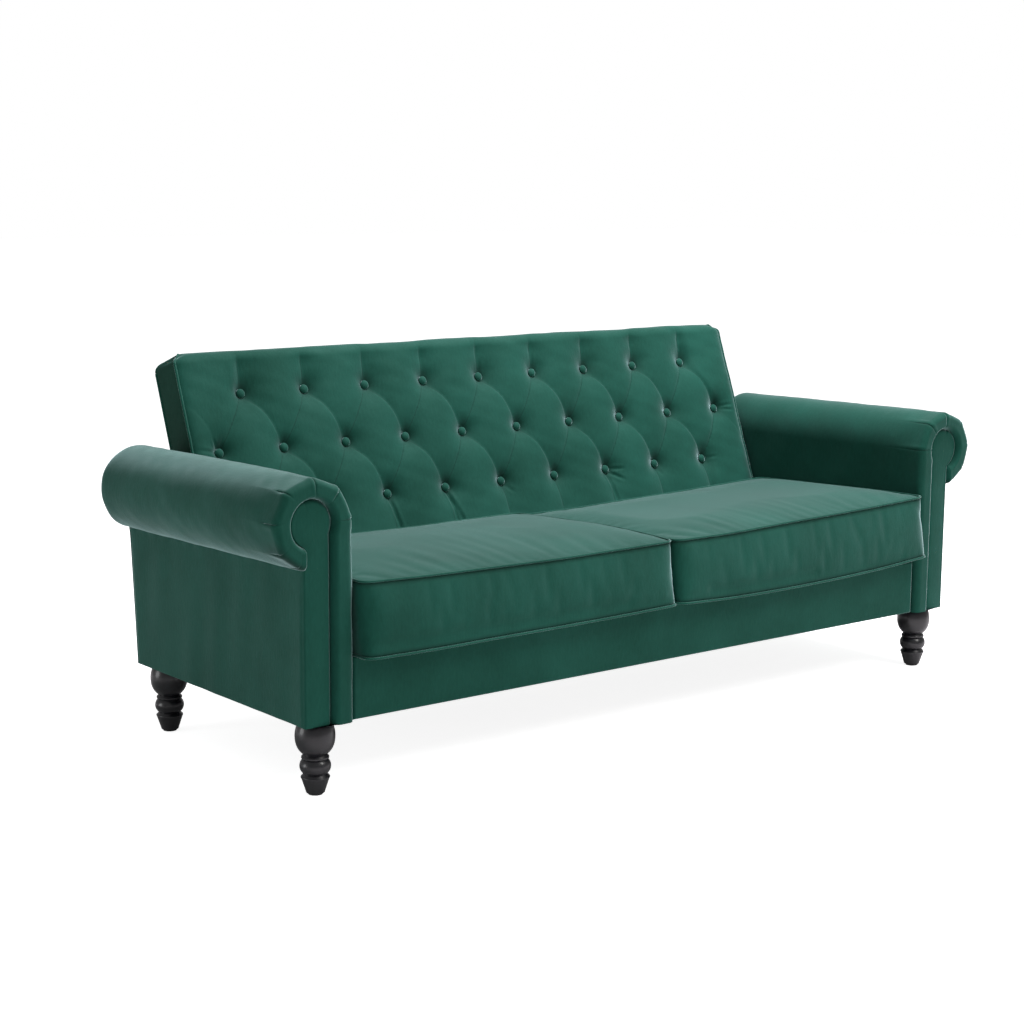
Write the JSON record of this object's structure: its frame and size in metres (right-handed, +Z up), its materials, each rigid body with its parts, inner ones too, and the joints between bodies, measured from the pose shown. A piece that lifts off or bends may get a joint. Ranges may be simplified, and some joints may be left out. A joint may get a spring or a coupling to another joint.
{
  "type": "futon sofa bed",
  "caption": "Velvet sofa bed with rolled scroll arms, two boxed seat cushions, turned legs and a button-tufted back that folds down flat on ratchet hinges.",
  "frame": {"origin": "on the floor, below the centre of the overall box at rest (back upright)", "axes": "+X along the seat to the right as seen from in front, +Y from front to back, +Z up"},
  "size_m": [2.1, 0.8718, 0.8514],
  "materials": {
    "velvet": "cut-pile velvet, dark green",
    "leg_black": "black satin lacquer",
    "frame_wood": "sawn, bare",
    "steel": "zinc plated",
    "nylon": "moulded",
    "felt": "needled felt",
    "dust_cover": "spun-bonded sheet",
    "webbing": "woven strap"
  },
  "bodies": {
    "base": {"arm_bolts": "steel", "centre_rail": "frame_wood", "corner_blocks": "frame_wood", "dust_cover": "dust_cover", "front_apron": "velvet", "front_left_leg": "leg_black", "front_rail": "frame_wood", "front_right_leg": "leg_black", "hinge_base_screws": "steel", "hinge_pins": "steel", "left_arm_bottom_rail": "frame_wood", "left_arm_end_panel": "velvet", "left_arm_facing": "velvet", "left_arm_front_band": "velvet", "left_arm_front_board": "frame_wood", "left_arm_pad": "velvet", "left_arm_rear_board": "frame_wood", "left_arm_side_panel": "velvet", "left_arm_top_rail": "frame_wood", "left_hinge_base_plate": "steel", "left_seat_cushion": "velvet", "left_side_rail": "frame_wood", "leg_bolts": "steel", "leg_glides": "nylon", "leg_plates": "steel", "rear_apron": "velvet", "rear_left_leg": "leg_black", "rear_rail": "frame_wood", "rear_right_leg": "leg_black", "right_arm_bottom_rail": "frame_wood", "right_arm_end_panel": "velvet", "right_arm_facing": "velvet", "right_arm_front_band": "velvet", "right_arm_front_board": "frame_wood", "right_arm_pad": "velvet", "right_arm_rear_board": "frame_wood", "right_arm_side_panel": "velvet", "right_arm_top_rail": "frame_wood", "right_hinge_base_plate": "steel", "right_seat_cushion": "velvet", "right_side_rail": "frame_wood", "seat_deck": "felt", "seat_springs": "steel", "spring_clips": "steel"},
    "back": {"back_bottom_rail": "frame_wood", "back_buttons": "velvet", "back_left_border": "velvet", "back_left_stile": "frame_wood", "back_middle_stiles": "frame_wood", "back_pad": "velvet", "back_rear_panel": "velvet", "back_right_border": "velvet", "back_right_stile": "frame_wood", "back_top_rail": "frame_wood", "back_webbing": "webbing", "hinge_back_screws": "steel", "left_hinge_back_plate": "steel", "right_hinge_back_plate": "steel"},
    "left_pawl": {"left_pawl": "steel"},
    "right_pawl": {"right_pawl": "steel"}
  },
  "joints": [
    {"name": "back_fold", "type": "hinge", "parent": "base", "child": "back", "pos_m": [0, 0.22552, 0.39], "axis": [-1, 0, 0], "range_deg": [-8, 69.5]},
    {"name": "left_pawl_swing", "type": "hinge", "parent": "base", "child": "left_pawl", "pos_m": [0, 0.25852, 0.342], "axis": [1, 0, 0], "range_deg": [0, 10], "stiffness_Nm_per_rad": 0.05, "springref_deg": -11.46},
    {"name": "right_pawl_swing", "type": "hinge", "parent": "base", "child": "right_pawl", "pos_m": [0, 0.25852, 0.342], "axis": [1, 0, 0], "range_deg": [0, 10], "stiffness_Nm_per_rad": 0.05, "springref_deg": -11.46}
  ]
}
